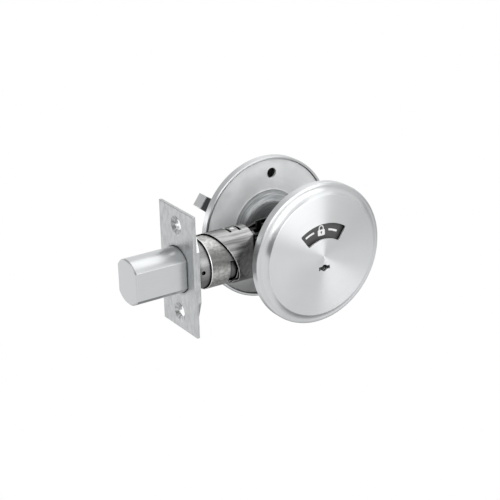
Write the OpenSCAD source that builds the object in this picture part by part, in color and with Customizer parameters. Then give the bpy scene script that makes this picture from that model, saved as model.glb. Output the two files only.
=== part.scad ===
// Toilet indicator bolt: a tubular door bolt with an occupied/vacant dial outside and a thumb lever inside.
// Millimetres. The origin is where the bolt's axis crosses the cross bore's axis, midway through the door.
// The bolt points to -X, the outside rose is at -Y, the inside rose at +Y, and +Z is up. The bolt is thrown.

/* [Door] */
// Door thickness between the two roses
door_t = 37; // [35:0.5:45]
// Faceplate's outer face to the cross bore's centre
backset = 60.3; // [59:0.1:64]
// Travel of the bolt
throw = 25.4; // [22:0.2:26]
// How far the longer backset setting moves the faceplate out
backset_step = 9.5; // [6:0.5:10]
// How far the spindle lies below the bolt's axis
spindle_drop = 5.4; // [5:0.1:6.4]
// Turn of the thumb lever from thrown to drawn, in degrees
turn_deg = 90; // [88:1:92]

/* [Faceplate] */
// Height of the faceplate
face_h = 57.15; // [54:0.05:60]
// Width of the faceplate
face_w = 28.6; // [26:0.1:30]
// Thickness of the faceplate
face_t = 1.6; // [1.2:0.1:2.5]
// Distance between the two screw holes
screw_gap = 41.3; // [38:0.1:44]
// Diameter of a screw hole
screw_d = 5; // [4:0.1:5.5]
// Diameter of a screw head's countersink
screw_head_d = 9; // [7.5:0.1:9.5]
// Height of the backing plate
backing_h = 43; // [36:0.5:48]
// Thickness of the backing plate
backing_t = 1.5; // [1:0.1:2]
// Narrowing of the backing plate's ends, on each side
backing_taper = 3.2; // [1:0.1:4]

/* [Bolt] */
// Width of the bolt across its flats
bolt_w = 16.6; // [15:0.1:17.5]
// Radius of the bolt's round top and bottom
bolt_r = 10.5; // [10.2:0.05:10.7]
// Chamfer round the bolt's front end
bolt_edge = 0.6; // [0.3:0.1:1.2]
// Radius of a roller inside the bolt
roller_r = 1.5; // [1:0.1:1.6]
// Height of a roller's axis above or below the bolt's axis
roller_z = 7.4; // [6.8:0.1:7.8]

/* [Tubes] */
// Wall of the front tube
front_wall = 0.35; // [0.3:0.05:0.5]
// Wall of the adjusting sleeve
sleeve_wall = 0.4; // [0.35:0.05:0.6]
// Wall of the bolt housing
housing_wall = 0.45; // [0.4:0.05:0.7]
// Space between the front tube and the adjusting sleeve
sleeve_gap = 0.45; // [0.3:0.05:0.5]
// Space between the adjusting sleeve and the bolt housing
housing_gap = 0.3; // [0.1:0.05:0.35]
// Faceplate's outer face to the adjusting sleeve's front edge
sleeve_front = 10.6; // [9:0.1:12]
// Cross bore's centre to the rear end of the bolt housing
housing_end = 25; // [24:0.1:25.5]
// Cross bore's centre to the middle of the housing's oblique edge
oblique_mid = 39.5; // [39:0.1:41]
// Rise of the oblique edge on each side of its middle
oblique_rise = 5; // [3:0.1:6]
// Length over which the housing's sides are squeezed in
squeeze_l = 11; // [9:0.5:12]
// Half width of the housing's squeezed rear end
squeeze_hw = 7.2; // [7:0.1:8]

/* [Crank] */
// Space between the two case halves
case_gap = 10.4; // [10:0.1:11]
// Sheet thickness of the case halves
case_t = 1.2; // [1:0.1:1.4]
// Half height of the crank case
case_half_h = 10.9; // [10.5:0.1:12]
// Radius of the hub's journals
journal_r = 4.2; // [4:0.05:4.5]
// Radius of the crank pin
pin_r = 1.25; // [1:0.05:1.4]
// Width of the tailpiece
tailpiece_w = 6; // [5:0.1:6.2]
// Thickness of the tailpiece
tailpiece_t = 2.4; // [2:0.1:2.6]

/* [Roses] */
// Radius of the outside rose
outside_r = 33.3; // [33:0.1:36]
// Radius of the inside rose
inside_r = 34.4; // [34:0.1:37]
// Sheet thickness of the roses
rose_wall = 0.8; // [0.6:0.05:0.9]
// Height of a rose's outer lip
lip_h = 4.1; // [3.7:0.1:4.5]
// Height of a rose's face at its edge
rose_face_h = 6.8; // [6.4:0.1:8]
// Further rise of the face to its centre
rose_crown = 1.6; // [1.4:0.1:2.4]
// Width of the hem at a rose's rim
hem_w = 1.1; // [0.9:0.1:1.8]
// How far the mounting plates lie inside the rims
plate_inset = 1.1; // [0.6:0.1:1.4]
// Thickness of the mounting plates
plate_t = 1.2; // [1:0.1:1.4]
// Outside rose's rim to the middle of a fixing hole
fixing_in = 7.1; // [6.7:0.1:8.3]
// Angle of the fixing holes from upright, towards +X, in degrees
fixing_deg = 7; // [0:0.5:15]
// Diameter of a fixing hole
fixing_d = 5; // [4:0.1:5.4]

/* [Indicator] */
// How much shorter the window's reach from the spindle is than the outside rose's radius
window_in = 12.3; // [11.9:0.1:14.3]
// Width of the window, along its radius
window_w = 7.2; // [6:0.1:9]
// Half angle of the window, in degrees
window_half = 35.5; // [28:0.5:36]
// Rounding of the window's corners
window_round = 0.6; // [0.3:0.1:1]
// Thickness of the dial
dial_t = 0.8; // [0.5:0.1:0.9]
// Length of the keyhole's slot
key_slot_l = 6; // [5:0.1:6.4]
// Height of the keyhole's slot
key_slot_h = 1.7; // [1.2:0.1:2]
// Diameter of the keyhole's round middle
key_d = 3.2; // [2.6:0.1:3.6]

/* [Inside trim] */
// Radius of the boss drawn in the inside plate
boss_r = 18.4; // [17.5:0.1:20]
// How far the boss stands out of the inside plate
boss_h = 5; // [4.8:0.1:6.5]
// Spindle to the thumb lever's tip
lever_l = 30; // [26:0.5:34]
// Width of the thumb lever at its tip
lever_w = 6.5; // [5:0.1:8]
// Depth of the thumb lever
lever_d = 6.6; // [5:0.1:9]
// Height of the thumb lever's neck
neck_h = 9.3; // [7:0.1:11]
// Radius of the thumb lever's neck
neck_r = 8; // [7.5:0.1:9]
// Direction of the lever when the bolt is thrown, from +X towards +Z, in degrees
lever_deg = 144; // [130:1:160]
// Radius of the turn spindle
spindle_r = 5; // [4.6:0.05:5.2]

/* [Clearances] */
// Radial clearance of a turning fit
run_gap = 0.05; // [0.02:0.01:0.1]
// Clearance round a piece that is fixed in its seat
seat_gap = 0.03; // [0.02:0.01:0.05]
// Clearance between sliding pieces
slide_gap = 0.15; // [0.15:0.05:0.3]
// Clearance round the bolt in the faceplate
mouth_gap = 0.3; // [0.2:0.05:0.4]
// Clearance between moving neighbours
free_gap = 0.4; // [0.3:0.05:0.5]

/* [Hidden] */
$fn = 96;
far = 200;

satin = "#d2d3d4";
bright = "#c4c6c8";
steel = "#9c9d9f";
warm_steel = "#b0afa8";
dark_steel = "#6b6e70";
brass = "#b59a5a";
dial_grey = "#4b4d4f";

// Places along the bolt
face_x = -backset;
back_x = face_x + face_t;
tip_x = face_x - throw;
bolt_rear = -housing_end - throw - free_gap;
front_in = bolt_r + slide_gap;
front_out = front_in + front_wall;
sleeve_in = front_out + sleeve_gap;
sleeve_out = sleeve_in + sleeve_wall;
housing_in = sleeve_out + housing_gap;
housing_out = housing_in + housing_wall;
sleeve_x = face_x + sleeve_front;
sleeve_rear = -housing_end - 7;
front_rear = -housing_end - squeeze_l - 0.5;
tab_half = 2;
screw_z = screw_gap / 2;

// Tail and crank
tongue_hw = 2.9;
tongue_hh = 4.6;
tongue_l = 21;
tail_pin_r = 1.5;
tail_pin_in = 8;
tail_pin_x = bolt_rear - tail_pin_in;
roller_in = 8;
bolt_taper = 5;
bolt_rear_hw = squeeze_hw - 1.5;
fork_x = bolt_rear + 5;
fork_block = 8;
case_in = case_gap / 2;
case_out = case_in + case_t;
fork_out = case_in - 0.6;
arm_ht = 1.5;
fork_in = arm_ht + free_gap;
hub_r = journal_r + 1.4;
hub_half = case_in - 0.3;
journal_half = case_out + 0.8;
cheek_bottom = hub_r - spindle_drop + 2 * free_gap;
cheek_top = 8.5;
ear_out = 3.2;
crank_ease = 0.56;
crank_l = throw / (2 * sin(turn_deg / 2)) - crank_ease;
ear_top = crank_l - spindle_drop + 0.2;
notch_x = -throw / 2;
notch_half = pin_r + 0.85;
tip_r = pin_r + 1.15;
arm_hw = tip_r - 0.3;
pin_x = -crank_l * sin(turn_deg / 2);
pin_z = crank_l * cos(turn_deg / 2) - spindle_drop;
socket_w = tailpiece_w + 0.2;
socket_t = tailpiece_t + 0.2;
spacer_r = 2;
spacer_pin_r = 1.2;
rivet_h = 0.6;
case_nose_l = 1.5;
case_nose_drop = 3.4;
case_slope_x = -12;
case_foot_x = 9;
case_rear_x = 13;
case_rear_low = -7;
case_rear_high = 3;
case_top_x = 7;
flange_ease = 0.05;
spacer_places = [[-17, -7.4], [10, -7.4]];

// Roses, with heights measured from the door's face
face_y = door_t / 2;
fixing_reach = outside_r - fixing_in;
window_r2 = outside_r - window_in;
window_r1 = window_r2 - window_w;
ledge_h = plate_inset + plate_t;
rose_top = rose_face_h + rose_crown;
face_in = 4.6;
band_w = 1.8;
band_rise = 0.15;
lip_edge = 0.4;
lip_round = 0.6;
face_edge = 0.4;
plate_ease = 0.3;

// Indicator stack, with heights measured from the door's face
bush_flange = 0.6;
washer_t = 0.3;
washer_in = 0.5;
driver_r = 4;
driver_flange_r = 7.5;
driver_base = ledge_h + bush_flange + washer_t + 2 * run_gap;
bush_over = 1;
driver_groove = 0.3;
socket_end_gap = 0.4;
key_depth = 3;
boss_over = 0.5;
dial_clear = 0.6;
dial_h = rose_face_h - rose_wall - dial_clear;
dial_dip = 0.45;
dial_flat_r = 12;
driver_top = dial_h + dial_t + boss_over;
driver_end = -3.2;
driver_bush_r = 6;
post_rivet_r = 2.6;
post_r = 3.5;
post_l = 5;
dial_r = window_r2 + 1;
dial_side = window_half + 2.5;
hub_flat = 4.2;
hub_hole_r = 5;

// Inside stack
boss_face = plate_inset - boss_h;
boss_step = 0.35;
boss_flat_r = boss_r - 5;
boss_sag = 0.9;
bush_end = boss_face - 1.2;
turn_bush_r = 6.4;
turn_flange_r = 7.7;
turn_flange_t = 1;
turn_bush_tail = 4;
clip_t = 0.8;
clip_gap = 0.4;
clip_w = 2.4;
turn_groove = 0.4;
spindle_tail = 0.8;
spindle_end = bush_end - clip_gap - clip_t - spindle_tail;
neck_base = rose_top + washer_t + 2 * run_gap;
neck_top = neck_base + neck_h;
lever_top = neck_top + lever_d;
lever_edge = 0.3;
lever_flare = 1;
lever_bore_end = 0.5;
socket_reach = 3;
socket_end = plate_inset + socket_reach;
lever_screw_r = 1.9;
lever_screw_in = 0.5;

// Points of a line from p to q that bows out to its left by sag
function bow(p, q, sag, n = 6) = [
    for (i = [0 : n])
        let (t = i / n, d = q - p, side = [-d[1], d[0]] / norm(d))
        p + t * d + 4 * sag * t * (1 - t) * side
];

// Points of a circle's arc from angle a to angle b
function arc(c, r, a, b, n = 6) = [
    for (i = [0 : n])
        let (t = a + (b - a) * i / n)
        c + r * [cos(t), sin(t)]
];

// Centre of a corner's rounding in half of a sector, beside the edge at angle half, d from the middle
function corner(d, half, round) =
    let (side = asin(round / d))
    d * [sin(half - side), cos(half - side)];

// Extrude a drawing, whose first axis is -Z and second axis +Y, from x0 to x1
module along_x(x0, x1) {
    translate([x0, 0, 0])
        rotate([0, 90, 0])
            linear_extrude(x1 - x0)
                children();
}

// Extrude a drawing of the XZ plane from y0 to y1
module along_y(y0, y1) {
    translate([0, y1, 0])
        rotate([90, 0, 0])
            linear_extrude(y1 - y0)
                children();
}

module rod_x(r, x0, x1) {
    translate([x0, 0, 0])
        rotate([0, 90, 0])
            cylinder(r = r, h = x1 - x0);
}

module rod_y(r, y0, y1) {
    translate([0, y0, 0])
        rotate([-90, 0, 0])
            cylinder(r = r, h = y1 - y0);
}

module tube_x(r_in, r_out, x0, x1) {
    difference() {
        rod_x(r_out, x0, x1);
        rod_x(r_in, x0 - 1, x1 + 1);
    }
}

module tube_y(r_in, r_out, y0, y1) {
    difference() {
        rod_y(r_out, y0, y1);
        rod_y(r_in, y0 - 1, y1 + 1);
    }
}

// Box between two corners
module block(low, high) {
    translate(low)
        cube(high - low);
}

module at_spindle() {
    translate([0, 0, -spindle_drop])
        children();
}

// The two fixing holes, above and below the rose's centre
module fixing_places() {
    for (side = [-1, 1])
        rotate([0, fixing_deg, 0])
            translate([0, 0, side * fixing_reach])
                children();
}

// Outside pieces are drawn with their height along +Y from the door's face and turned to face -Y
module outside() {
    translate([0, -face_y, 0])
        rotate([0, 0, 180])
            mirror([1, 0, 0])
                children();
}

module inside() {
    translate([0, face_y, 0])
        children();
}

// Turn a drawing of radius and height about the Y axis
module turned() {
    rotate([-90, 0, 0])
        rotate_extrude()
            children();
}

// Open ring that snaps into a groove of radius r, with its mouth towards -Z
module snap_ring(r, r_out, y0, y1) {
    mouth = r * 0.9;
    difference() {
        tube_y(r, r_out, y0, y1);
        block([-mouth, y0 - 1, -r_out - 1], [mouth, y1 + 1, 0]);
    }
}

module bolt_outline(gap) {
    intersection() {
        circle(r = bolt_r + gap);
        square([far, bolt_w + 2 * gap], center = true);
    }
}

module faceplate() color(satin) {
    c = 0.3;
    hw = face_w / 2;
    hh = face_h / 2;
    difference() {
        intersection() {
            along_y(-hw, hw)
                polygon([[face_x, -hh + c], [face_x + c, -hh], [back_x, -hh],
                         [back_x, hh], [face_x + c, hh], [face_x, hh - c]]);
            translate([0, 0, -hh])
                linear_extrude(face_h)
                    polygon([[face_x, -hw + c], [face_x + c, -hw], [back_x, -hw],
                             [back_x, hw], [face_x + c, hw], [face_x, hw - c]]);
        }
        along_x(face_x - 1, back_x + 1)
            bolt_outline(mouth_gap);
        for (side = [-1, 1])
            translate([0, 0, side * screw_z])
                countersunk_hole();
    }
}

// Pressed countersink that leaves a plain hole for the last part of the faceplate's thickness
module countersunk_hole() {
    depth = face_t * 0.75;
    rod_x(screw_d / 2, face_x - 1, back_x + 1);
    translate([face_x - 0.01, 0, 0])
        rotate([0, 90, 0])
            cylinder(r1 = screw_head_d / 2, r2 = screw_d / 2, h = depth);
}

module backing_plate() color(bright) {
    hw = face_w / 2;
    tip = hw - backing_taper;
    hh = backing_h / 2;
    shoulder = hh - 3 * backing_taper;
    difference() {
        along_x(back_x, back_x + backing_t)
            polygon([[-hh, -tip], [-shoulder, -hw], [shoulder, -hw], [hh, -tip],
                     [hh, tip], [shoulder, hw], [-shoulder, hw], [-hh, tip]]);
        rod_x(front_out + seat_gap, back_x - 1, back_x + backing_t + 1);
        for (side = [-1, 1])
            translate([0, 0, side * screw_z])
                rod_x(screw_d / 2 + 0.7, back_x - 1, back_x + backing_t + 1);
    }
}

module front_tube() color(steel) {
    hole_x = face_x + 6.8;
    hole_r = 1;
    difference() {
        tube_x(front_in, front_out, back_x, front_rear);
        translate([hole_x, 0, 0])
            rod_y(hole_r, -front_out - 1, 0);
    }
}

// Sleeve with a beaded mouth, a crimped ring that grips the front tube, and a pocket low on its outer side
module adjusting_sleeve() color(warm_steel) {
    bead = sleeve_wall * 0.35;
    crimp_x = sleeve_x + 3;
    pocket_x = -oblique_mid - 0.6;
    pocket_l = 4;
    pocket_deg = 15;
    pocket_half = 5.6;
    difference() {
        intersection() {
            union() {
                rotate([0, 90, 0])
                    rotate_extrude()
                        polygon([[sleeve_in + bead, sleeve_x], [sleeve_out - bead, sleeve_x],
                                 [sleeve_out, sleeve_x + bead], [sleeve_out, sleeve_rear],
                                 [sleeve_in, sleeve_rear], [sleeve_in, sleeve_x + bead]]);
                tube_x(front_out + seat_gap, sleeve_in + 0.01, crimp_x, crimp_x + 2);
            }
            squeezed(housing_wall + free_gap);
        }
        rotate([pocket_deg, 0, 0])
            block([pocket_x, -far, -pocket_half], [pocket_x + pocket_l, 0, pocket_half]);
    }
}

// Space between the housing's two sides, which come together towards its rear end, less a gap
module squeezed(gap) {
    wide = housing_out + 1 - gap;
    narrow = squeeze_hw - gap;
    start = -housing_end - squeeze_l * (housing_out + 1 - squeeze_hw) / (housing_out - squeeze_hw);
    translate([0, 0, -far / 2])
        linear_extrude(far)
            polygon([[-far, -wide], [start, -wide], [-housing_end, -narrow], [0, -narrow],
                     [0, narrow], [-housing_end, narrow], [start, wide], [-far, wide]]);
}

// Half space on the faceplate's side of the housing's oblique edge
module oblique_cut() {
    lean_deg = 33;
    tilt = atan(oblique_rise / housing_out);
    translate([-oblique_mid, 0, 0])
        rotate([-lean_deg, 0, 0])
            rotate([0, -tilt, 0])
                translate([-far, -far / 2, -far / 2])
                    cube(far);
}

// Tube with squeezed sides, an oblique front edge with two stops, and slots and a lanced tab on top
module bolt_housing() color(steel) {
    stop_l = 4.5;
    stop_x = -oblique_mid + 1.8;
    top_stop_x = -oblique_mid - oblique_rise - 2.6;
    slot_x = -housing_end - 6.5;
    slot_gap = 2.5;
    slot_half = 0.75;
    slot_reach = 3;
    lance_half = 0.9;
    lance_w = 0.35;
    lance_end = lance_half + lance_w;
    difference() {
        union() {
            difference() {
                squeezed_tube(top_stop_x, -housing_end);
                oblique_cut();
            }
            housing_stop(141, stop_x, stop_x + stop_l);
            housing_stop(-36, top_stop_x, top_stop_x + stop_l);
            intersection() {
                squeezed_tube(-housing_end - 1, -housing_end + case_t);
                block([-far, -far, -tab_half], [0, far, tab_half]);
            }
        }
        for (side = [-1, 1])
            translate([slot_x + side * slot_gap, 0, 0])
                block([-slot_half, -slot_reach, 0], [slot_half, slot_reach, far]);
        translate([slot_x, 0, 0]) {
            block([lance_half, -lance_end, 0], [lance_end, lance_half, far]);
            block([-lance_half, -lance_end, 0], [lance_end, -lance_half, far]);
        }
    }
}

module squeezed_tube(x0, x1) {
    difference() {
        intersection() {
            rod_x(housing_out, x0, x1);
            squeezed(0);
        }
        intersection() {
            rod_x(housing_in, x0 - 1, x1 + 1);
            squeezed(housing_wall);
        }
    }
}

// Tab of the housing's wall round an angle from the top towards the outside
module housing_stop(deg, x0, x1) {
    intersection() {
        squeezed_tube(x0, x1);
        rotate([deg, 0, 0])
            block([-far, -tab_half, 0], [0, tab_half, far]);
    }
}

// One side of the crank case: a plate beside the crank and a flange on the housing's end
module case_half() {
    x0 = -housing_end;
    nose = case_half_h - case_nose_drop;
    tab_in = squeeze_hw - housing_wall - seat_gap;
    difference() {
        union() {
            along_y(case_in, case_out)
                polygon([[x0, -nose], [x0 + case_nose_l, -nose], [case_slope_x, -case_half_h],
                         [case_foot_x, -case_half_h], [case_rear_x, case_rear_low],
                         [case_rear_x, case_rear_high], [case_top_x, case_half_h],
                         [case_slope_x, case_half_h], [x0 + case_nose_l, nose], [x0, nose]]);
            intersection() {
                rod_x(housing_out - flange_ease, x0, x0 + case_t);
                squeezed(flange_ease);
                block([-far, case_in, -far], [0, far, far]);
            }
        }
        at_spindle()
            rod_y(journal_r + run_gap, 0, far);
        for (p = spacer_places)
            translate([p[0], 0, p[1]])
                rod_y(spacer_pin_r + seat_gap, 0, far);
        block([x0 - 1, tab_in, -tab_half - seat_gap], [x0 + case_t + 1, far, tab_half + seat_gap]);
    }
}

module crank_case_outer() color(dark_steel) {
    mirror([0, 1, 0])
        case_half();
}

module crank_case_inner() color(dark_steel) {
    case_half();
}

module case_spacers() color(steel) {
    for (p = spacer_places)
        translate([p[0], 0, p[1]]) {
            rod_y(spacer_r, -case_in, case_in);
            rod_y(spacer_pin_r, -case_out - rivet_h, case_out + rivet_h);
            for (side = [0, 1])
                mirror([0, side, 0])
                    rod_y(spacer_r, case_out, case_out + rivet_h);
        }
}

module bolt() color(bright) {
    hw = bolt_w / 2;
    c = bolt_edge;
    taper_x = bolt_rear - bolt_taper;
    difference() {
        intersection() {
            rotate([0, 90, 0])
                rotate_extrude()
                    polygon([[0, tip_x], [bolt_r - c, tip_x], [bolt_r, tip_x + c],
                             [bolt_r, bolt_rear], [0, bolt_rear]]);
            translate([0, 0, -far / 2])
                linear_extrude(far)
                    polygon([[tip_x, -hw + c], [tip_x + c, -hw], [taper_x, -hw], [bolt_rear, -bolt_rear_hw],
                             [bolt_rear, bolt_rear_hw], [taper_x, hw], [tip_x + c, hw], [tip_x, hw - c]]);
        }
        block([bolt_rear - tongue_l - 0.6, -tongue_hw - slide_gap, -tongue_hh - slide_gap],
              [bolt_rear + 1, tongue_hw + slide_gap, tongue_hh + slide_gap]);
        translate([tail_pin_x, 0, 0])
            rod_y(tail_pin_r + seat_gap, -far, far);
        for (side = [-1, 1])
            translate([0, 0, side * roller_z])
                rod_x(roller_r + run_gap, tip_x + roller_in, bolt_rear + 1);
    }
}

module bolt_rollers() color(dark_steel) {
    for (side = [-1, 1])
        translate([0, 0, side * roller_z])
            rod_x(roller_r, tip_x + roller_in, bolt_rear - 1);
}

module tail_pin() color(steel) {
    translate([tail_pin_x, 0, 0])
        rod_y(tail_pin_r, -bolt_w / 2 + 0.1, bolt_w / 2 - 0.1);
}

// Tongue in the bolt's slot and a fork whose notch takes the crank pin
module bolt_tail() color(steel) {
    fork_end = notch_x + notch_half + 2.2;
    ear_x = notch_x - notch_half - 2.2;
    difference() {
        union() {
            block([bolt_rear - tongue_l, -tongue_hw, -tongue_hh], [fork_x + 1, tongue_hw, tongue_hh]);
            block([fork_x, -fork_out, -tongue_hh], [fork_x + fork_block, fork_out, cheek_top]);
            block([fork_x, -fork_out, cheek_bottom], [fork_end, fork_out, cheek_top]);
            block([ear_x, -ear_out, cheek_bottom], [fork_end, ear_out, ear_top]);
        }
        block([fork_x + fork_block, -fork_in, -far], [far, fork_in, far]);
        block([notch_x - notch_half, -far, pin_z - pin_r - free_gap], [notch_x + notch_half, far, far]);
        block([tail_pin_x - backset_step - tail_pin_r - free_gap, -far, -tail_pin_r - slide_gap],
              [tail_pin_x + tail_pin_r + free_gap, far, tail_pin_r + slide_gap]);
    }
}

module crank_hub() color(dark_steel) {
    difference() {
        union() {
            at_spindle() {
                rod_y(hub_r, -hub_half, hub_half);
                rod_y(journal_r, -journal_half, journal_half);
                rotate([0, -turn_deg / 2, 0])
                    block([-arm_hw, -arm_ht, 0], [arm_hw, arm_ht, crank_l]);
            }
            translate([pin_x, 0, pin_z])
                rod_y(tip_r, -arm_ht, arm_ht);
        }
        translate([pin_x, 0, pin_z])
            rod_y(pin_r + seat_gap, -far, far);
        at_spindle()
            socket(-far, far);
    }
}

// Flat socket for the tailpiece
module socket(y0, y1) {
    block([-socket_w / 2, y0, -socket_t / 2], [socket_w / 2, y1, socket_t / 2]);
}

module crank_pin() color(steel) {
    translate([pin_x, 0, pin_z])
        rod_y(pin_r, -fork_out - 0.1, fork_out + 0.1);
}

module tailpiece() color(bright) {
    y0 = -face_y - ledge_h + 0.7;
    y1 = face_y + socket_end - 0.3;
    at_spindle()
        block([-tailpiece_w / 2, y0, -tailpiece_t / 2], [tailpiece_w / 2, y1, tailpiece_t / 2]);
}

// Section of a rose of radius r: hem, lip, band, cove and domed face outside, a ledge for the plate inside
module rose_section(r) {
    wall_r = r - face_in - rose_wall;
    band_top = lip_h + band_rise;
    polygon(concat(
        [[r - hem_w, 0], [r - lip_edge, 0], [r, lip_edge]],
        bow([r, lip_h - lip_round], [r - lip_round, lip_h], -0.17, 4),
        bow([r - lip_round, lip_h], [r - band_w, band_top], -0.06, 4),
        bow([r - band_w, band_top], [r - face_in, rose_face_h - face_edge], 0.5, 8),
        bow([r - face_in, rose_face_h - face_edge], [r - face_in - face_edge, rose_face_h], -0.1, 3),
        bow([r - face_in - face_edge, rose_face_h], [0, rose_top], -rose_crown / 4, 12),
        bow([0, rose_top - rose_wall], [wall_r, rose_face_h - rose_wall], rose_crown / 4, 12),
        [[wall_r, ledge_h], [r - hem_w, ledge_h]]
    ));
}

// Window outline, about the spindle
module window_outline() {
    c = window_round;
    inner = corner(window_r1 + c, window_half, c);
    outer = corner(window_r2 - c, window_half, c);
    inner_deg = atan2(inner[1], inner[0]);
    outer_deg = atan2(outer[1], outer[0]);
    half = concat(
        arc([0, 0], window_r1, 90, inner_deg, 12),
        arc(inner, c, inner_deg - 180, -window_half, 4),
        arc(outer, c, -window_half, outer_deg, 4),
        arc([0, 0], window_r2, outer_deg, 90, 12)
    );
    for (side = [0, 1])
        mirror([side, 0])
            polygon(half);
}

module outside_rose() color(satin) {
    difference() {
        outside()
            turned()
                rose_section(outside_r);
        at_spindle() {
            along_y(-far, -face_y - ledge_h)
                window_outline();
            rod_y(key_d / 2, -far, -face_y - ledge_h);
            block([-key_slot_l / 2, -far, -key_slot_h / 2],
                  [key_slot_l / 2, -face_y - ledge_h, key_slot_h / 2]);
        }
    }
}

module outside_backplate() color(steel) {
    plate_r = outside_r - hem_w - plate_ease;
    difference() {
        outside()
            rod_y(plate_r, plate_inset, ledge_h);
        outside()
            at_spindle()
                rod_y(driver_bush_r + seat_gap, -far, far);
        fixing_places()
            rod_y(post_rivet_r + seat_gap, -far, far);
    }
}

// Tapped posts, riveted in the backplate, that take the fixing screws
module fixing_posts() color(bright) {
    tap_r = fixing_d / 2 - 0.4;
    fixing_places()
        outside()
            difference() {
                union() {
                    rod_y(post_rivet_r, 0, ledge_h);
                    rod_y(post_r, -post_l, plate_inset);
                }
                rod_y(tap_r, -post_l - 1, plate_inset + 0.3);
            }
}

module driver_bush() color(brass) {
    outside()
        at_spindle()
            difference() {
                union() {
                    rod_y(driver_bush_r, -bush_over, ledge_h);
                    rod_y(driver_flange_r, ledge_h, ledge_h + bush_flange);
                }
                rod_y(driver_r + run_gap, -far, far);
            }
}

module driver_washer() color(steel) {
    y0 = ledge_h + bush_flange + run_gap;
    outside()
        at_spindle()
            tube_y(driver_r + 3 * run_gap, driver_flange_r - washer_in, y0, y0 + washer_t);
}

// Section of the driver's boss, round with two flats
module dial_boss(gap) {
    intersection() {
        circle(r = hub_hole_r + gap);
        square([far, 2 * (hub_flat + gap)], center = true);
    }
}

module release_driver() color(brass) {
    groove_y = -bush_over - clip_gap;
    outside()
        at_spindle()
            difference() {
                union() {
                    rod_y(driver_r, driver_end, driver_base);
                    rod_y(driver_flange_r, driver_base, dial_h);
                    along_y(dial_h, driver_top)
                        dial_boss(0);
                }
                tube_y(driver_r - driver_groove, driver_r + 1, groove_y - clip_t, groove_y);
                socket(-far, ledge_h - socket_end_gap);
                rod_y(key_d / 2, driver_top - key_depth, far);
                block([-key_slot_l / 2, driver_top - key_depth, -key_slot_h / 2],
                      [key_slot_l / 2, far, key_slot_h / 2]);
            }
}

module driver_clip() color(dark_steel) {
    groove_y = -bush_over - clip_gap;
    outside()
        at_spindle()
            snap_ring(driver_r - driver_groove + seat_gap, driver_r + clip_w, groove_y - clip_t + run_gap,
                      groove_y - run_gap);
}

// Fan with one field at the window and the other a turn away, dished so that its rim clears the rose
module indicator_dial() color(dial_grey) {
    reach = 2 * dial_r;
    low = turn_deg + 90 + dial_side;
    high = 90 - dial_side;
    rim_h = dial_h - dial_dip;
    outside()
        at_spindle()
            difference() {
                intersection() {
                    turned()
                        polygon([[0, dial_h], [dial_flat_r, dial_h], [dial_r, rim_h],
                                 [dial_r, rim_h + dial_t], [dial_flat_r, dial_h + dial_t],
                                 [0, dial_h + dial_t]]);
                    along_y(0, far)
                        union() {
                            polygon(concat([[0, 0]], arc([0, 0], reach, high, low, 8)));
                            circle(r = driver_flange_r);
                        }
                }
                along_y(0, far)
                    dial_boss(seat_gap);
            }
}

module inside_rose() color(satin) {
    difference() {
        inside()
            turned()
                rose_section(inside_r);
        at_spindle()
            rod_y(spindle_r + free_gap, 0, far);
    }
}

// Mounting plate with a domed boss drawn towards the door
module inside_plate() color(satin) {
    plate_r = inside_r - hem_w - plate_ease;
    crease = plate_inset - boss_step;
    difference() {
        inside()
            turned()
                polygon(concat(
                    [[plate_r, ledge_h], [plate_r, plate_inset], [boss_r, plate_inset]],
                    bow([boss_r, crease], [boss_flat_r, boss_face], boss_sag, 10),
                    [[0, boss_face], [0, boss_face + plate_t]],
                    bow([boss_flat_r, boss_face + plate_t], [boss_r - plate_t, ledge_h], -boss_sag, 10)
                ));
        at_spindle()
            rod_y(turn_bush_r + seat_gap, 0, far);
        fixing_places()
            rod_y(fixing_d / 2, 0, far);
    }
}

module turn_bush() color(brass) {
    flange_y = boss_face + plate_t;
    inside()
        at_spindle()
            difference() {
                union() {
                    rod_y(turn_bush_r, bush_end, flange_y);
                    rod_y(turn_flange_r, flange_y, flange_y + turn_flange_t);
                    rod_y(turn_bush_r, flange_y, flange_y + turn_bush_tail);
                }
                rod_y(spindle_r + run_gap, -far, far);
            }
}

module turn_washer() color(steel) {
    y0 = rose_top + run_gap;
    inside()
        at_spindle()
            tube_y(spindle_r + 3 * run_gap, neck_r - washer_in, y0, y0 + washer_t);
}

module turn_clip() color(dark_steel) {
    groove_y = bush_end - clip_gap;
    inside()
        at_spindle()
            snap_ring(spindle_r - turn_groove + seat_gap, spindle_r + clip_w, groove_y - clip_t + run_gap,
                      groove_y - run_gap);
}

module turn_spindle() color(steel) {
    groove_y = bush_end - clip_gap;
    inside()
        at_spindle()
            difference() {
                rod_y(spindle_r, spindle_end, neck_top - lever_bore_end - 2 * run_gap);
                tube_y(spindle_r - turn_groove, spindle_r + 1, groove_y - clip_t, groove_y);
                socket(-far, socket_end);
            }
}

// Lever on a round neck, with its arm along the local +X axis before it is turned
module thumb_lever() color(satin) {
    c = lever_edge;
    hw = lever_w / 2;
    root = hw + lever_flare;
    inside()
        at_spindle()
            rotate([0, -lever_deg, 0])
                difference() {
                    union() {
                        rod_y(neck_r, neck_base, neck_top);
                        intersection() {
                            union() {
                                rod_y(neck_r, neck_top, lever_top);
                                along_y(neck_top, lever_top)
                                    polygon([[0, -root], [lever_l, -hw], [lever_l, hw], [0, root]]);
                            }
                            translate([0, 0, -far / 2])
                                linear_extrude(far)
                                    polygon([[-neck_r - 1, neck_top], [lever_l - c, neck_top],
                                             [lever_l, neck_top + c], [lever_l, lever_top - c],
                                             [lever_l - c, lever_top], [-neck_r - 1, lever_top]]);
                        }
                    }
                    rod_y(spindle_r + seat_gap, 0, neck_top - lever_bore_end);
                    lever_screw_place()
                        cylinder(r = lever_screw_r + seat_gap, h = far);
                }
}

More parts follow.
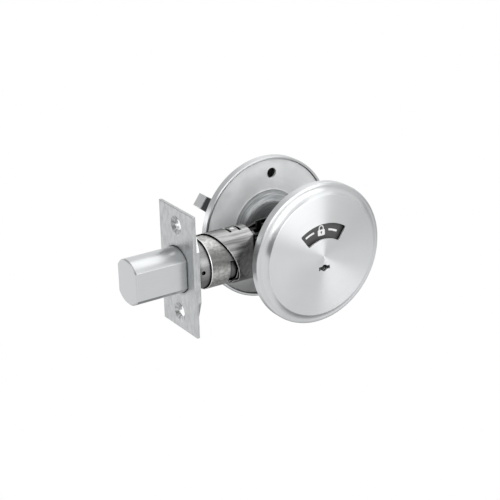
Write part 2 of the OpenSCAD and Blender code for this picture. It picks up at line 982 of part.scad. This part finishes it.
// The grub screw's axis, from the spindle's middle outwards, under the lever's arm
module lever_screw_place() {
    translate([0, (neck_base + neck_top) / 2, 0])
        rotate([180, 0, 0])
            children();
}

module lever_screw() color(dark_steel) {
    hex_r = 1.15;
    depth = neck_r - spindle_r - lever_screw_in;
    inside()
        at_spindle()
            rotate([0, -lever_deg, 0])
                lever_screw_place()
                    translate([0, 0, spindle_r + seat_gap])
                        difference() {
                            cylinder(r = lever_screw_r, h = depth);
                            translate([0, 0, depth - 1.5])
                                cylinder(r = hex_r, h = 2, $fn = 6);
                        }
}

faceplate();
backing_plate();
front_tube();
adjusting_sleeve();
bolt_housing();
crank_case_outer();
crank_case_inner();
case_spacers();
bolt();
bolt_rollers();
tail_pin();
bolt_tail();
crank_hub();
crank_pin();
tailpiece();
outside_rose();
outside_backplate();
fixing_posts();
driver_bush();
driver_washer();
release_driver();
driver_clip();
indicator_dial();
inside_rose();
inside_plate();
turn_bush();
turn_washer();
turn_clip();
turn_spindle();
thumb_lever();
lever_screw();
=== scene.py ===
import math

import bmesh
import bpy
from mathutils import Matrix, Vector


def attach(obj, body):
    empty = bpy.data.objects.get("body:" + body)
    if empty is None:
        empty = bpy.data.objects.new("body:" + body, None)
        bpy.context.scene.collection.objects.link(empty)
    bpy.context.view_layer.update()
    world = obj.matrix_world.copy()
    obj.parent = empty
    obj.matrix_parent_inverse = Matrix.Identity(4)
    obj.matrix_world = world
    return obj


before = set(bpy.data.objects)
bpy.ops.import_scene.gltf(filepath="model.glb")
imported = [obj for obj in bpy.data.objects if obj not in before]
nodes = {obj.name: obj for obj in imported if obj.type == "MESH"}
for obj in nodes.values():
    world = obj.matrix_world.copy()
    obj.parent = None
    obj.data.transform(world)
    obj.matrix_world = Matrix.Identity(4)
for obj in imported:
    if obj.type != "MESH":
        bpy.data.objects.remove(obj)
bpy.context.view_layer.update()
scene = bpy.context.scene
scene.view_settings.view_transform = "Standard"

MM = 0.001

# The photograph's camera, fitted to the faceplate, the bolt and both roses
IMAGE_PX = 500.0
SENSOR_MM = 36.0
CAMERA_F_PX = 1500.0
CAMERA_AZ = math.radians(32.44)
CAMERA_EL = math.radians(22.26)
CAMERA_ROLL = math.radians(-1.49)
CAMERA_AT = Vector((-360.1, -531.5, 257.6)) * MM
CAMERA_NEAR = 0.01

# Values of a noise texture between which a surface goes from one look to the other
NOISE_MID = (0.3, 0.7)
NOISE_FULL = (0.25, 0.75)

# Height of the ridges round a pressed countersink, in depths of the grain
RIDGE_HEIGHT = 50.0

# Tints that are added to a grey
NEUTRAL = (0.0, 0.0, 0.0)
COOL = (-0.012, 0.0, 0.008)
WARM = (0.004, 0.003, -0.005)


def add_camera():
    forward = Vector((math.sin(CAMERA_AZ) * math.cos(CAMERA_EL),
                      math.cos(CAMERA_AZ) * math.cos(CAMERA_EL),
                      -math.sin(CAMERA_EL)))
    level = forward.cross(Vector((0, 0, 1))).normalized()
    upright = level.cross(forward)
    right = math.cos(CAMERA_ROLL) * level + math.sin(CAMERA_ROLL) * upright
    up = right.cross(forward)
    data = bpy.data.cameras.new("photo_camera")
    data.sensor_fit = "HORIZONTAL"
    data.sensor_width = SENSOR_MM
    data.lens = CAMERA_F_PX * SENSOR_MM / IMAGE_PX
    data.clip_start = CAMERA_NEAR
    camera = bpy.data.objects.new("photo_camera", data)
    turn = Matrix((right, up, -forward)).transposed().to_4x4()
    camera.matrix_world = Matrix.Translation(CAMERA_AT) @ turn
    scene.collection.objects.link(camera)
    scene.camera = camera


class Graph:
    """A material's or world's node tree, with short calls for the nodes that this scene uses."""

    def __init__(self, owner):
        owner.use_nodes = True
        self.tree = owner.node_tree
        self.tree.nodes.clear()

    def node(self, kind, **settings):
        made = self.tree.nodes.new(kind)
        for key, value in settings.items():
            setattr(made, key, value)
        return made

    def put(self, value, socket):
        if isinstance(value, bpy.types.NodeSocket):
            self.tree.links.new(value, socket)
        else:
            socket.default_value = value

    def math(self, operation, a, b=0.0):
        made = self.node("ShaderNodeMath", operation=operation)
        self.put(a, made.inputs[0])
        self.put(b, made.inputs[1])
        return made.outputs[0]

    def vector(self, operation, a, b):
        made = self.node("ShaderNodeVectorMath", operation=operation)
        self.put(a, made.inputs[0])
        self.put(b, made.inputs[1])
        return made.outputs["Value" if operation == "DOT_PRODUCT" else "Vector"]

    def combine(self, x, y, z):
        made = self.node("ShaderNodeCombineXYZ")
        for value, socket in zip((x, y, z), made.inputs):
            self.put(value, socket)
        return made.outputs[0]

    def separate(self, vector):
        made = self.node("ShaderNodeSeparateXYZ")
        self.put(vector, made.inputs[0])
        return made.outputs

    def distance(self, where, point):
        away = self.vector("SUBTRACT", where, point)
        return self.math("SQRT", self.vector("DOT_PRODUCT", away, away))

    def spread(self, value, low, high, to_low, to_high, smooth=True):
        """Value carried from one span to another, and held at its ends."""
        made = self.node("ShaderNodeMapRange", interpolation_type="SMOOTHSTEP" if smooth else "LINEAR")
        for number, socket in zip((value, low, high, to_low, to_high), made.inputs):
            self.put(number, socket)
        return made.outputs[0]

    def noise(self, vector, scale, detail, rough=0.5):
        made = self.node("ShaderNodeTexNoise")
        self.put(vector, made.inputs["Vector"])
        made.inputs["Scale"].default_value = scale
        made.inputs["Detail"].default_value = detail
        made.inputs["Roughness"].default_value = rough
        return made.outputs["Fac"]

    def mix(self, factor, a, b):
        made = self.node("ShaderNodeMix", data_type="RGBA")
        self.put(factor, made.inputs["Factor"])
        self.put(a, made.inputs["A"])
        self.put(b, made.inputs["B"])
        return made.outputs["Result"]

    def dim(self, colour, factor):
        return self.vector("MULTIPLY", colour, self.combine(factor, factor, factor))

    def rays(self):
        """Whether a ray comes from the camera, and whether it comes off metal or through glass."""
        path = self.node("ShaderNodeLightPath").outputs
        mirrored = self.math("MAXIMUM", path["Is Glossy Ray"], path["Is Transmission Ray"])
        return path["Is Camera Ray"], mirrored

    def place(self):
        """Object coordinates in millimetres."""
        coordinates = self.node("ShaderNodeTexCoord")
        made = self.node("ShaderNodeVectorMath", operation="SCALE")
        self.tree.links.new(coordinates.outputs["Object"], made.inputs[0])
        made.inputs["Scale"].default_value = 1 / MM
        return made.outputs["Vector"]

    def bump(self, height, strength, distance, under=None):
        made = self.node("ShaderNodeBump")
        made.inputs["Strength"].default_value = strength
        made.inputs["Distance"].default_value = distance * MM
        self.put(height, made.inputs["Height"])
        if under is not None:
            self.put(under, made.inputs["Normal"])
        return made.outputs["Normal"]

    def soft_edges(self, radius):
        """Normal that rounds the edges off, and a mask of them."""
        most_turned, least_turned = 0.86, 0.99
        made = self.node("ShaderNodeBevel", samples=6)
        made.inputs["Radius"].default_value = radius * MM
        normal = made.outputs["Normal"]
        true_normal = self.node("ShaderNodeNewGeometry").outputs["Normal"]
        turned = self.vector("DOT_PRODUCT", normal, true_normal)
        return normal, self.spread(turned, most_turned, least_turned, 1.0, 0.0)

    def painted_seam_shade(self, reach, depth, shut=0.15, open_=0.75):
        """Painted shade: a factor that falls from 1 to depth where another surface is closer than reach."""
        made = self.node("ShaderNodeAmbientOcclusion", samples=8)
        made.inputs["Distance"].default_value = reach * MM
        return self.spread(made.outputs["AO"], shut, open_, depth, 1.0)

    def surface(self, colour, rough, metal, normal, **constants):
        shader = self.node("ShaderNodeBsdfPrincipled")
        self.put(colour, shader.inputs["Base Color"])
        self.put(rough, shader.inputs["Roughness"])
        self.put(metal, shader.inputs["Metallic"])
        self.put(normal, shader.inputs["Normal"])
        for key, value in constants.items():
            shader.inputs[key.replace("_", " ")].default_value = value
        output = self.node("ShaderNodeOutputMaterial")
        self.tree.links.new(shader.outputs[0], output.inputs["Surface"])
        return shader


def grey(value, tint=NEUTRAL):
    return (value + tint[0], value + tint[1], value + tint[2], 1.0)


def finish(g, colour, roughness, grain, metal, edge=0.15, bright=0.35, seam=(1.2, 0.25), grain_depth=0.015,
           worn=0.0, stains=(), **constants):
    """Shader with painted shade in its seams, edges painted bright as wear and as painted highlight, and a
    fine grain; a mask can paint more highlight. A band of painted shade, for shadow and dark reflections,
    darkens it
    near a place along an axis: the axis, the place, the distances where it starts to fade and ends, and its
    darkest factor."""
    edge_white = grey(0.90)
    grain_strength = 0.12
    normal, rim = g.soft_edges(edge)
    # painted shade in seams and gaps, where other surfaces are near
    shadow = g.painted_seam_shade(*seam)
    # painted shade: bands darkened along an axis, for shadow and dark reflections
    for axis, centre, near, far, shade in stains:
        along = g.separate(g.place())["XYZ".index(axis)]
        apart = g.math("ABSOLUTE", g.math("SUBTRACT", along, centre))
        shadow = g.math("MULTIPLY", shadow, g.spread(apart, near, far, shade, 1.0))
    colour = g.dim(colour, shadow)
    # edges painted bright, as wear and as painted highlight, and where the mask paints more highlight
    colour = g.mix(g.math("MAXIMUM", g.math("MULTIPLY", rim, bright), worn), colour, edge_white)
    normal = g.bump(grain, grain_strength, grain_depth, normal)
    return g.surface(colour, roughness, metal, normal, **constants)


def round_satin(name, light, dark, rough, aniso, zone=None, zone_rough=None, zone_dark=None, metal=1.0,
                zone_metal=1.0, cloud=0.0, **finishing):
    """Steel brushed in circles round an axis along Y; zone is the span of radii with a finish of its own,
    streaked with zone_dark, and cloud is how far broad smudges change the colour."""
    across_rate, along_rate, cloud_rate = 3.4, 1.3, 0.09
    least_radius = 0.1
    blur = 0.1
    cloud_span = (0.35, 0.65)
    streak_span, streak_least = (0.38, 0.64), 0.55
    line_wear, cloud_wear = 0.025, 0.02
    across_lines = 0.25
    material = bpy.data.materials.new(name)
    g = Graph(material)
    where = g.place()
    x, y, z = g.separate(where)
    radius = g.math("SQRT", g.math("ADD", g.math("MULTIPLY", x, x), g.math("MULTIPLY", z, z)))
    around = g.math("MAXIMUM", radius, least_radius)
    across = g.math("ADD", g.math("MULTIPLY", radius, across_rate), g.math("MULTIPLY", y, across_rate))
    rings = g.combine(across,
                      g.math("MULTIPLY", g.math("DIVIDE", x, around), along_rate),
                      g.math("MULTIPLY", g.math("DIVIDE", z, around), along_rate))
    lines = g.noise(rings, 1.0, 4.0, 0.65)
    broad = g.noise(where, cloud_rate, 2.0)
    colour = g.mix(g.spread(lines, *NOISE_MID, 0.0, 1.0), dark, light)
    if cloud > 0.0:
        colour = g.dim(colour, g.spread(broad, *cloud_span, 1.0 - cloud, 1.0))
    level = rough
    if zone is not None:
        first, last = zone
        inside = g.math("MULTIPLY", g.spread(radius, first - blur, first + blur, 0.0, 1.0),
                        g.spread(radius, last - blur, last + blur, 1.0, 0.0))
        level = g.spread(inside, 0.0, 1.0, rough, zone_rough, False)
        if metal != zone_metal:
            metal = g.spread(inside, 0.0, 1.0, metal, zone_metal, False)
        streaks = g.math("MULTIPLY", inside, g.spread(lines, *streak_span, 1.0, streak_least))
        colour = g.mix(streaks, colour, zone_dark)
    wear = g.math("ADD", g.spread(lines, *NOISE_FULL, -line_wear, line_wear),
                  g.spread(broad, *NOISE_MID, -cloud_wear, cloud_wear))
    roughness = g.math("ADD", level, wear)
    shader = finish(g, colour, roughness, lines, metal, Anisotropic=aniso, Anisotropic_Rotation=across_lines,
                    **finishing)
    tangent = g.node("ShaderNodeTangent", direction_type="RADIAL", axis="Y")
    g.tree.links.new(tangent.outputs[0], shader.inputs["Tangent"])
    return material


def line_satin(name, light, dark, rough, stretch, **finishing):
    """Steel brushed in straight lines: stretch gives the noise's frequency along X, Y and Z."""
    cloud_rate = 0.12
    line_wear, cloud_wear = 0.015, 0.03
    material = bpy.data.materials.new(name)
    g = Graph(material)
    where = g.place()
    lines = g.noise(g.vector("MULTIPLY", where, stretch), 1.0, 4.0, 0.6)
    broad = g.noise(where, cloud_rate, 2.0)
    colour = g.mix(g.spread(lines, *NOISE_MID, 0.0, 1.0), dark, light)
    roughness = g.math("ADD", g.spread(lines, *NOISE_FULL, rough - line_wear, rough + line_wear),
                       g.spread(broad, *NOISE_MID, -cloud_wear, cloud_wear))
    finish(g, colour, roughness, lines, 1.0, **finishing)
    return material


def press_ridges(g, where, centre):
    """Radial ridges round a pressed countersink in a plate that faces along X."""
    ridges = 9.0
    reach, fade_in, fade_out = 4.4, 0.3, 0.1
    depth, blur = 1.5, 0.1
    away = g.separate(g.vector("SUBTRACT", where, centre))
    square = g.math("ADD", g.math("MULTIPLY", away[1], away[1]), g.math("MULTIPLY", away[2], away[2]))
    near = g.spread(g.math("SQRT", square), reach - fade_in, reach + fade_out, RIDGE_HEIGHT, 0.0)
    near = g.math("MULTIPLY", near, g.spread(away[0], depth - blur, depth + blur, 1.0, 0.0))
    turned = g.math("MULTIPLY", g.math("ARCTAN2", away[2], away[1]), ridges)
    return g.math("MULTIPLY", near, g.math("SINE", turned))


def mill_steel(name, light, dark, rough, mottle, glint_at=None, mouth=None, pressed=(), **finishing):
    """Rolled or plated steel with soft blotches and fine pits; mottle is the blotches' rate on each axis.
    It has a painted highlight round the given point and to the left of the place mouth along X, and ridges
    round the pressed points, with painted shade on one side of each ridge."""
    blotch_span = (0.32, 0.68)
    pit_rate = 3.0
    blotch_wear, pit_wear = 0.05, 0.02
    ridge_shade, ridge_shade_share = grey(0.10), 0.45
    glint_white, glint_from, glint_to = grey(0.95), 1.0, 1.4
    mouth_fade = 0.2
    material = bpy.data.materials.new(name)
    g = Graph(material)
    where = g.place()
    blotch = g.noise(g.vector("MULTIPLY", where, mottle), 1.0, 4.0, 0.6)
    pits = g.noise(where, pit_rate, 2.0)
    relief = pits
    colour = g.mix(g.spread(blotch, *blotch_span, 0.0, 1.0), dark, light)
    # painted shade on one side of each ridge round a pressed point
    for centre in pressed:
        ridge = press_ridges(g, where, centre)
        relief = g.math("ADD", relief, ridge)
        colour = g.mix(g.spread(ridge, 0.0, RIDGE_HEIGHT, 0.0, ridge_shade_share), colour, ridge_shade)
    # painted highlight: near-white round the given point
    if glint_at is not None:
        apart = g.distance(where, glint_at)
        colour = g.mix(g.spread(apart, glint_from, glint_to, 1.0, 0.0), colour, glint_white)
    # painted highlight on everything to the left of mouth along X
    if mouth is not None:
        along = g.separate(where)[0]
        finishing["worn"] = g.spread(along, mouth, mouth + mouth_fade, 1.0, 0.0)
    roughness = g.math("ADD", g.spread(blotch, *NOISE_MID, rough - blotch_wear, rough + blotch_wear),
                       g.spread(pits, *NOISE_MID, -pit_wear, pit_wear))
    finish(g, colour, roughness, relief, 1.0, **finishing)
    return material


def painted(name, light, dark, rough):
    """Matt paint with a fine grain."""
    grain_rate, cloud_rate = 5.0, 0.3
    grain_wear, grain_strength, grain_depth = 0.05, 0.15, 0.02
    material = bpy.data.materials.new(name)
    g = Graph(material)
    where = g.place()
    grain = g.noise(where, grain_rate, 3.0)
    broad = g.noise(where, cloud_rate, 2.0)
    colour = g.mix(broad, dark, light)
    roughness = g.spread(grain, *NOISE_MID, rough - grain_wear, rough + grain_wear)
    g.surface(colour, roughness, 0.0, g.bump(grain, grain_strength, grain_depth))
    return material


def dress(material, *names):
    for name in names:
        for slot in nodes[name].material_slots:
            slot.material = material


def dress_outside():
    """Brushed pieces: roses, inside plate, lever and bolt."""
    rose = {"light": grey(0.72, COOL), "dark": grey(0.70, COOL), "rough": 0.40, "aniso": 0.9,
            "zone_rough": 0.33, "seam": (1.6, 0.25), "grain_depth": 0.003, "bright": 0.0}
    outside = round_satin("outside_satin", zone=(28.5, 40.0), zone_dark=grey(0.62, COOL), **rose)
    inside = round_satin("inside_satin", zone=(29.6, 40.0), zone_dark=grey(0.58, COOL), **rose)
    # the plate is painted darker towards its bottom as shade, under the latch and behind the front rose
    plate = round_satin("plate_satin", light=grey(0.86, COOL), dark=grey(0.81, COOL), rough=0.36, aniso=0.2,
                        zone=(-1.0, 18.3), zone_rough=0.34, zone_dark=grey(0.20, COOL), metal=0.1,
                        zone_metal=0.6, cloud=0.14, seam=(0.8, 0.8), grain_depth=0.006, edge=0.3, bright=0.25,
                        stains=[("Z", -58.0, 30.0, 42.0, 0.40)])
    back = round_satin("back_zinc", light=grey(0.20), dark=grey(0.15), rough=0.50, aniso=0.2)
    # the lever's 20 mm seam reach paints shade on its underside and neck, near the rose
    lever = line_satin("lever_satin", light=grey(0.68, COOL), dark=grey(0.64, COOL), rough=0.36,
                       stretch=(0.3, 3.0, 3.0), grain_depth=0.003, edge=0.6, seam=(20.0, 0.2, 0.5, 0.98))
    bolt = line_satin("bolt_satin", light=grey(0.58, COOL), dark=grey(0.57, COOL), rough=0.31,
                      stretch=(0.1, 1.5, 1.5), grain_depth=0.001, edge=0.15, bright=0.6)
    dress(outside, "outside_rose")
    dress(inside, "inside_rose")
    dress(plate, "inside_plate")
    dress(back, "outside_backplate")
    dress(lever, "thumb_lever")
    dress(bolt, "bolt")


def dress_latch():
    """Plates and tubes of the latch."""
    face_x = -60.3
    screw_z = 20.65
    housing_tab = (-31.5, 0.0, 12.6)
    sleeve_mouth = -49.45
    # painted shade in the gaps between the tube, the sleeve and nearby parts
    crevice_shade = (4.0, 0.03, 0.70, 0.97)
    face = mill_steel("face_satin", light=grey(0.55, COOL), dark=grey(0.44, COOL), rough=0.32,
                      mottle=(0.5, 0.5, 0.22), pressed=[(face_x, 0.0, screw_z), (face_x, 0.0, -screw_z)],
                      grain_depth=0.02, seam=(2.4, 0.30, 0.45, 0.95), edge=0.2, bright=0.6)
    tube = mill_steel("tube_steel", light=grey(0.31), dark=grey(0.24), rough=0.42, mottle=(0.05, 0.5, 0.5),
                      seam=crevice_shade)
    # edges painted bright as highlight, and a painted highlight on the tab
    # painted shade below mid-height and in the seam at its oblique edge, a dark painted reflection along its
    # rear side,
    housing = mill_steel("housing_steel", light=grey(0.50), dark=grey(0.20), rough=0.36,
                         mottle=(0.05, 0.6, 0.6), glint_at=housing_tab, bright=0.8, edge=0.45,
                         seam=(1.2, 0.10, 0.3, 0.85),
                         stains=[("Z", -40.0, 42.0, 52.5, 0.38), ("Y", 4.6, 1.2, 4.0, 0.22)])
    # the sleeve has a painted band of shade round mid-height and a painted highlight on its front lip
    sleeve = mill_steel("sleeve_zinc", light=grey(0.57, WARM), dark=grey(0.34, WARM), rough=0.40,
                        mottle=(0.7, 0.9, 0.9), mouth=sleeve_mouth, bright=0.8, edge=0.3, seam=crevice_shade,
                        stains=[("Z", 4.5, 1.0, 6.5, 0.23)])
    # nearly black, partly the case's own dark finish and partly painted shade of the crank region
    case = mill_steel("case_steel", light=grey(0.13), dark=grey(0.08), rough=0.30, mottle=(0.1, 0.4, 0.4),
                      bright=0.02, seam=(4.0, 0.05, 0.4, 0.95))
    dress(face, "faceplate", "backing_plate")
    dress(tube, "front_tube")
    dress(housing, "bolt_housing")
    dress(sleeve, "adjusting_sleeve")
    dress(case, "crank_case_outer", "crank_case_inner")


def dress_inside():
    """Pins, bearings, driver and dial."""
    even = (0.3, 0.3, 0.3)
    driver = mill_steel("driver_steel", light=grey(0.42), dark=grey(0.34), rough=0.40, mottle=even)
    plain = mill_steel("plain_steel", light=grey(0.40), dark=grey(0.32), rough=0.30, mottle=even)
    # nearly black, partly a dark finish and partly painted shade on the parts inside the crank case
    black = mill_steel("dark_steel", light=grey(0.05), dark=grey(0.03), rough=0.40, mottle=even, bright=0.05)
    brass = mill_steel("brass", light=(0.66, 0.50, 0.24, 1), dark=(0.56, 0.41, 0.18, 1), rough=0.28,
                       mottle=even)
    dial = painted("dial_paint", light=grey(0.072), dark=grey(0.055), rough=0.45)
    dress(driver, "release_driver")
    dress(plain, "case_spacers", "tail_pin", "tailpiece", "fixing_posts", "driver_washer", "turn_washer",
          "turn_spindle")
    dress(black, "bolt_rollers", "bolt_tail", "crank_hub", "crank_pin", "driver_clip", "turn_clip",
          "lever_screw")
    dress(brass, "driver_bush", "turn_bush")
    dress(dial, "indicator_dial")


def turn_arc(centre, radius, start, end, count):
    """Points of an arc between two angles in degrees."""
    points = []
    for i in range(count + 1):
        angle = math.radians(start + (end - start) * i / count)
        points.append((centre[0] + radius * math.cos(angle), centre[1] + radius * math.sin(angle)))
    return points


def padlock(low, lift):
    """Outlines of a padlock: two halves of its body round a keyhole, and a shackle raised on one side."""
    half = 1.9
    height = 2.8
    corner = 0.45
    hole = 0.42
    slot = 0.16
    ring = 1.35
    wire = 0.5
    leg = 0.75
    eye_share, foot_share = 0.58, 0.22
    eye = low + eye_share * height
    foot = low + foot_share * height
    top = low + height
    right = [(0.0, low)] + turn_arc((half - corner, low + corner), corner, -90, 0, 5)
    right += turn_arc((half - corner, top - corner), corner, 0, 90, 5) + [(0.0, top)]
    right += turn_arc((0.0, eye), hole, 90, -60, 10) + [(slot, foot), (0.0, foot)]
    left = [(-u, v) for u, v in reversed(right)]
    bow = top + leg + lift
    shackle = [(ring, top + lift)] + turn_arc((0.0, bow), ring, 0, 180, 18)
    shackle += [(-ring, top), (wire - ring, top)]
    shackle += turn_arc((0.0, bow), ring - wire, 180, 0, 18) + [(ring - wire, top + lift)]
    return [right, left, shackle]


def arc_bar(radius, width, start, end):
    """Outline of a bar along a circle about the spindle, with its angles from upright."""
    count = 14
    a, b = 90 - start, 90 - end
    outer = turn_arc((0, 0), radius + width / 2, a, b, count)
    inner = turn_arc((0, 0), radius - width / 2, b, a, count)
    return outer + inner


def add_mark(name, outlines, turned, material):
    """Raised marks on the dial, which falls away towards its rim; turned marks stand for the other field."""
    thick = 0.06
    flat_r, rim_r, top_h, dip = 12.0, 22.0, 6.2, 0.45
    face_y = -18.5
    spindle_z = -5.4
    mesh = bpy.data.meshes.new(name)
    work = bmesh.new()
    for outline in outlines:
        rings = []
        for lift in (0.0, thick):
            ring = []
            for u, v in outline:
                height = top_h + lift - dip * max(0.0, math.hypot(u, v) - flat_r) / (rim_r - flat_r)
                x, z = (-v, u) if turned else (u, v)
                ring.append(work.verts.new((x * MM, (face_y - height) * MM, (z + spindle_z) * MM)))
            rings.append(ring)
        work.faces.new(rings[1])
        work.faces.new(list(reversed(rings[0])))
        for i in range(len(outline)):
            j = (i + 1) % len(outline)
            work.faces.new((rings[0][i], rings[0][j], rings[1][j], rings[1][i]))
    bmesh.ops.recalc_face_normals(work, faces=work.faces)
    bmesh.ops.triangulate(work, faces=work.faces)
    work.to_mesh(mesh)
    work.free()
    mesh.materials.append(material)
    mark = bpy.data.objects.new(name, mesh)
    scene.collection.objects.link(mark)
    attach(mark, "turn_group")


def add_marks():
    """A closed padlock for the thrown bolt and an open one for the drawn bolt, each between two bars."""
    low = 14.9
    raised = 0.7
    bar_r, bar_w, bar_from, bar_to = 17.4, 0.9, 13, 29
    material = painted("mark_white", light=grey(0.80), dark=grey(0.72), rough=0.5)
    bars = [arc_bar(bar_r, bar_w, bar_from, bar_to), arc_bar(bar_r, bar_w, -bar_to, -bar_from)]
    add_mark("dial_mark_closed", padlock(low, 0.0) + bars, False, material)
    add_mark("dial_mark_open", padlock(low, raised) + bars, True, material)


def add_floor():
    """A pale floor well below the part, which hangs free in the photograph. The camera sees it white, and its
    grey zones show in the metal; a dark spot under the part is a painted shadow."""
    size = 6.0
    height = -0.30
    bounce = 0.74
    right_zone, right_tone = (480.0, 800.0), 0.45
    front_zone = (-380.0, -120.0)
    shadow_spot, shadow_zone, shadow_tone = (190.0, 120.0, height / MM), (200.0, 420.0), 0.30
    mesh = bpy.data.meshes.new("floor")
    corners = [(-size, -size, height), (size, -size, height), (size, size, height), (-size, size, height)]
    mesh.from_pydata(corners, [], [(0, 1, 2, 3)])
    floor = bpy.data.objects.new("floor", mesh)
    scene.collection.objects.link(floor)
    material = bpy.data.materials.new("floor_white")
    g = Graph(material)
    camera, mirrored = g.rays()
    where = g.place()
    x, y, _ = g.separate(where)
    tone = g.math("MAXIMUM", g.spread(x, *right_zone, 1.0, right_tone), g.spread(y, *front_zone, 0.0, 1.0))
    # painted shadow: the floor darkens in a round spot under the part
    tone = g.math("MINIMUM", tone, g.spread(g.distance(where, shadow_spot), *shadow_zone, shadow_tone, 1.0))
    matt = g.node("ShaderNodeBsdfDiffuse")
    g.put(g.mix(tone, grey(0.0), grey(bounce)), matt.inputs["Color"])
    glow = g.node("ShaderNodeEmission")
    g.put(g.math("MAXIMUM", camera, tone), glow.inputs["Strength"])
    choose = g.node("ShaderNodeMixShader")
    g.put(g.math("MAXIMUM", camera, mirrored), choose.inputs[0])
    g.put(matt.outputs[0], choose.inputs[1])
    g.put(glow.outputs[0], choose.inputs[2])
    output = g.node("ShaderNodeOutputMaterial")
    g.put(choose.outputs[0], output.inputs["Surface"])
    material.cycles.emission_sampling = "NONE"
    mesh.materials.append(material)


def flag(g, toward, aim, wide, tight, level):
    """Factor that falls from 1 to level as the direction nears aim."""
    near = g.vector("DOT_PRODUCT", toward, Vector(aim).normalized())
    return g.spread(near, wide, tight, 1.0, level)


def add_world():
    """White where the camera looks past the part, and a soft studio round it with two dark flags."""
    horizon, horizon_zone, horizon_level, wall_level = 0.02, (0.06, 0.36), 0.69, 0.66
    top_zone, top_gain = (0.15, 0.60), 0.40
    world = bpy.data.worlds.new("studio")
    scene.world = world
    g = Graph(world)
    toward = g.node("ShaderNodeTexCoord").outputs["Generated"]
    level = g.vector("DOT_PRODUCT", toward, (0, 0, 1))
    band = g.math("ABSOLUTE", g.math("SUBTRACT", level, horizon))
    value = g.math("ADD", g.spread(band, *horizon_zone, horizon_level, wall_level),
                   g.spread(level, *top_zone, 0.0, top_gain))
    flags = g.math("MULTIPLY", flag(g, toward, aim=(-0.91, -0.41, 0.02), wide=0.66, tight=0.95, level=0.15),
                   flag(g, toward, aim=(-0.40, 0.76, 0.50), wide=0.80, tight=0.97, level=0.54))
    camera, mirrored = g.rays()
    value = g.math("MULTIPLY", g.math("MAXIMUM", value, mirrored), flags)
    value = g.math("MAXIMUM", value, camera)
    back = g.node("ShaderNodeBackground")
    back.inputs["Color"].default_value = grey(1.0)
    g.put(value, back.inputs["Strength"])
    output = g.node("ShaderNodeOutputWorld")
    g.put(back.outputs[0], output.inputs["Surface"])


def add_lamp(name, at, size, watts):
    """A rectangular lamp that points at the origin."""
    data = bpy.data.lights.new(name, "AREA")
    data.shape = "RECTANGLE"
    data.size = size[0]
    data.size_y = size[1]
    data.energy = watts
    lamp = bpy.data.objects.new(name, data)
    lamp.location = at
    lamp.rotation_euler = (-Vector(at)).to_track_quat("-Z", "Y").to_euler()
    scene.collection.objects.link(lamp)


add_camera()
dress_outside()
dress_latch()
dress_inside()
add_marks()
add_floor()
add_world()
add_lamp("soft_box", at=(0.04, -1.02, 0.43), size=(1.40, 0.64), watts=6.8)
add_lamp("top_box", at=(0.50, 0.20, 0.95), size=(0.80, 0.80), watts=1.6)
add_lamp("back_box", at=(-0.75, 0.85, 0.04), size=(0.80, 0.26), watts=0.9)
